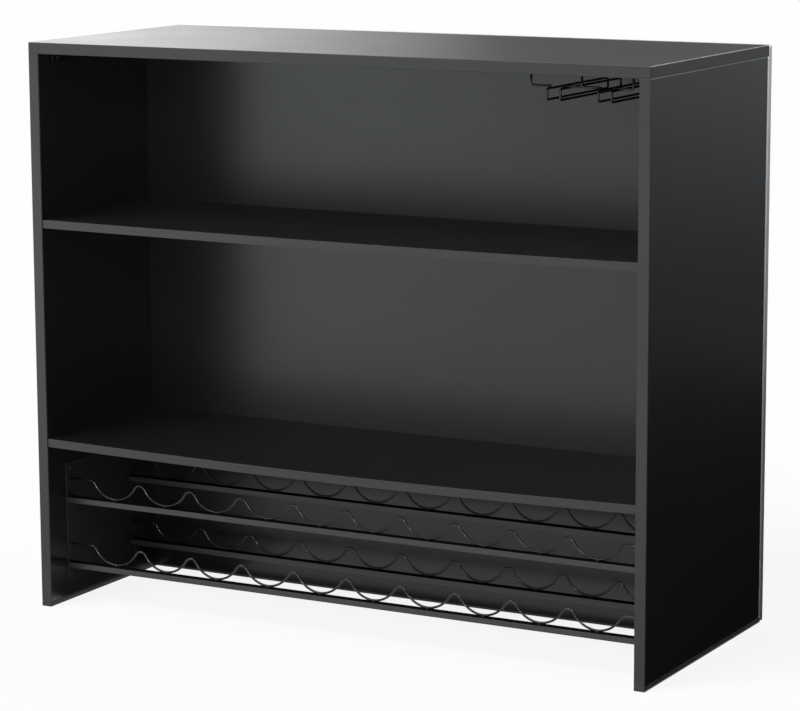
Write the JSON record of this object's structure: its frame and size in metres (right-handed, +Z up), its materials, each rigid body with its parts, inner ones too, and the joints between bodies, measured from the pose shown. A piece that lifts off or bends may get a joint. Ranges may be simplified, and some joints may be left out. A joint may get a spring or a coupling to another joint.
{
  "type": "bar counter with shelves",
  "caption": "Free-standing black bar counter, open on the service side, with shelves, a cradle rack of wave wires below and a hanging stem rack under the worktop.",
  "frame": {"origin": "on the floor, midway along the counter's width and depth", "axes": "+X along the counter to the right as seen from the service side, +Y to the guests' side, +Z up"},
  "size_m": [1.2, 0.512, 1.025],
  "materials": {
    "black_board": "black melamine on particle board, satin",
    "black_edge": "black plastic edge band, satin",
    "base_plastic": "black plastic, matt",
    "silver_trim": "satin silver",
    "rack_steel": "black powder coat, satin",
    "black_wire": "black lacquer, half gloss",
    "zinc": "zinc plated"
  },
  "bodies": {
    "root": {"worktop": "black_board", "side_panel_left": "black_board", "side_panel_right": "black_board", "back_panel": "black_board", "bar_front_panel": "black_board", "shelf_upper": "black_board", "shelf_lower": "black_board", "worktop_edge_band": "black_edge", "side_edge_band_left": "black_edge", "side_edge_band_right": "black_edge", "shelf_edge_band_upper": "black_edge", "shelf_edge_band_lower": "black_edge", "base_strip_left": "base_plastic", "base_strip_right": "base_plastic", "spacer_strip_left": "silver_trim", "spacer_strip_right": "silver_trim", "bar_front_edge_band": "silver_trim", "rack_plate_left": "rack_steel", "rack_plate_right": "rack_steel", "rack_rail_upper_front": "rack_steel", "rack_rail_upper_rear": "rack_steel", "rack_rail_lower_front": "rack_steel", "rack_rail_lower_rear": "rack_steel", "rack_screw_left_1": "rack_steel", "rack_screw_left_2": "rack_steel", "rack_screw_left_3": "rack_steel", "rack_screw_left_4": "rack_steel", "rack_screw_right_1": "rack_steel", "rack_screw_right_2": "rack_steel", "rack_screw_right_3": "rack_steel", "rack_screw_right_4": "rack_steel", "wave_wire_upper_front": "black_wire", "wave_wire_upper_rear": "black_wire", "wave_wire_lower_front": "black_wire", "wave_wire_lower_rear": "black_wire", "stem_rail_1": "black_wire", "stem_rail_2": "black_wire", "stem_rail_3": "black_wire", "stem_rail_4": "black_wire", "stem_hanger_front": "black_wire", "stem_hanger_rear": "black_wire", "stem_screw_front_1": "black_wire", "stem_screw_front_2": "black_wire", "stem_screw_rear_1": "black_wire", "stem_screw_rear_2": "black_wire", "corner_bracket_left": "zinc", "corner_bracket_right": "zinc", "bracket_side_screw_left": "zinc", "bracket_top_screw_left": "zinc", "bracket_side_screw_right": "zinc", "bracket_top_screw_right": "zinc", "cam_upper_left": "zinc", "cam_upper_right": "zinc", "cam_lower_left": "zinc", "cam_lower_right": "zinc", "cam_bolt_upper_left": "zinc", "cam_bolt_upper_right": "zinc", "cam_bolt_lower_left": "zinc", "cam_bolt_lower_right": "zinc"}
  },
  "joints": []
}
